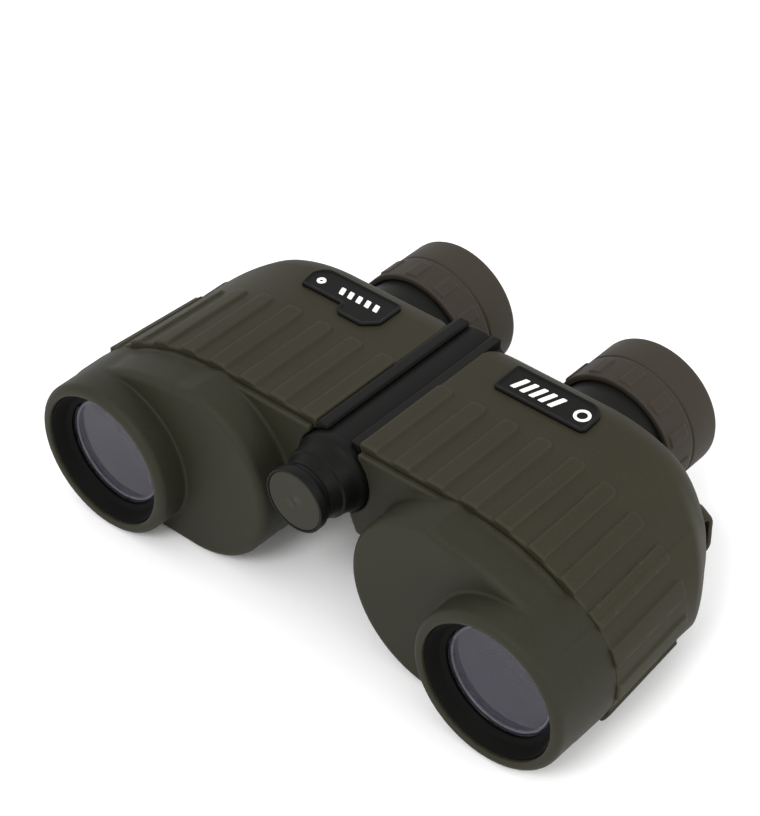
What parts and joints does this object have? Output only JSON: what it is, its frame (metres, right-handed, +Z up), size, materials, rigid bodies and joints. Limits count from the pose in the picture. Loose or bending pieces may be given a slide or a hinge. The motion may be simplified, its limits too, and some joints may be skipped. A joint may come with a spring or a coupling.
{
  "type": "binoculars",
  "caption": "Porro-prism binoculars with ribbed rubber armour, a central folding hinge and a separately focused eyepiece on each side.",
  "frame": {"origin": "centre of the base of the bounding box, on the surface that the binoculars lie on", "axes": "+Y along both optical axes from the objectives to the eyepieces, +X towards the half on the user's left, +Z up"},
  "size_m": [0.1754, 0.1106, 0.0543],
  "materials": {
    "armour_rubber": "olive drab rubber armour, fine matt grain",
    "cover_rubber": "olive moulded front cover, satin matt",
    "eyepiece_rubber": "brownish olive rubber",
    "housing_plastic": "black glass-filled polycarbonate",
    "black_plastic": "satin black",
    "badge_plastic": "black with a raised border",
    "coated_glass": "coated optical glass",
    "prism_glass": "clear optical glass",
    "seal_rubber": "black nitrile",
    "plate_metal": "machined",
    "cell_metal": "black anodised",
    "spring_steel": "spring steel",
    "shaft_steel": "ground steel",
    "washer_brass": "turned brass",
    "cap_plastic": "olive cap disc"
  },
  "bodies": {
    "left_half": {"armour_left": "armour_rubber", "front_cover_left": "cover_rubber", "housing_left": "housing_plastic", "objective_ring_left": "black_plastic", "objective_cell_left": "cell_metal", "objective_crown_left": "coated_glass", "objective_flint_left": "coated_glass", "objective_seal_left": "seal_rubber", "rear_prism_left": "prism_glass", "front_prism_left": "prism_glass", "prism_plate_left": "plate_metal", "prism_straps_left": "spring_steel", "prism_screws_left": "spring_steel", "eyepiece_tube_left": "black_plastic", "strap_lug_left": "armour_rubber", "badge_left": "badge_plastic", "hinge_strip_left": "black_plastic", "hinge_cover": "black_plastic", "hinge_shaft": "shaft_steel", "hinge_collar": "black_plastic", "tension_nut": "washer_brass", "thrust_washers": "washer_brass", "hinge_cap": "black_plastic", "cap_disc": "cap_plastic", "rear_nut": "black_plastic"},
    "right_half": {"armour_right": "armour_rubber", "front_cover_right": "cover_rubber", "housing_right": "housing_plastic", "objective_ring_right": "black_plastic", "objective_cell_right": "cell_metal", "objective_crown_right": "coated_glass", "objective_flint_right": "coated_glass", "objective_seal_right": "seal_rubber", "rear_prism_right": "prism_glass", "front_prism_right": "prism_glass", "prism_plate_right": "plate_metal", "prism_straps_right": "spring_steel", "prism_screws_right": "spring_steel", "eyepiece_tube_right": "black_plastic", "strap_lug_right": "armour_rubber", "badge_right": "badge_plastic", "hinge_strip_right": "black_plastic"},
    "ocular_left": {"ocular_cell_left": "cell_metal", "field_lens_left": "coated_glass", "eye_lens_left": "coated_glass", "lens_spacer_left": "cell_metal"},
    "focus_ring_left": {"focus_ring_left": "eyepiece_rubber", "eyecup_left": "eyepiece_rubber"},
    "ocular_right": {"ocular_cell_right": "cell_metal", "field_lens_right": "coated_glass", "eye_lens_right": "coated_glass", "lens_spacer_right": "cell_metal"},
    "focus_ring_right": {"focus_ring_right": "eyepiece_rubber", "eyecup_right": "eyepiece_rubber"}
  },
  "joints": [
    {"name": "fold", "type": "hinge", "parent": "left_half", "child": "right_half", "pos_m": [0, -0.00865, 0.0421], "axis": [0, 1, 0], "range_deg": [-31, 36]},
    {"name": "focus_travel_left", "type": "slide", "parent": "left_half", "child": "ocular_left", "axis": [0, 1, 0], "range_m": [-0.0015, 0.0015]},
    {"name": "focus_turn_left", "type": "hinge", "parent": "ocular_left", "child": "focus_ring_left", "pos_m": [0.0336, 0.04135, 0.0259], "axis": [0, 1, 0], "range_deg": [-150, 150]},
    {"name": "focus_travel_right", "type": "slide", "parent": "right_half", "child": "ocular_right", "axis": [0, 1, 0], "range_m": [-0.0015, 0.0015]},
    {"name": "focus_turn_right", "type": "hinge", "parent": "ocular_right", "child": "focus_ring_right", "pos_m": [-0.0336, 0.04135, 0.0259], "axis": [0, 1, 0], "range_deg": [-150, 150]}
  ],
  "couplings": [
    {"joint": "focus_turn_left", "follows": "focus_travel_left", "rad_per_m": 1745},
    {"joint": "focus_turn_right", "follows": "focus_travel_right", "rad_per_m": 1745}
  ]
}
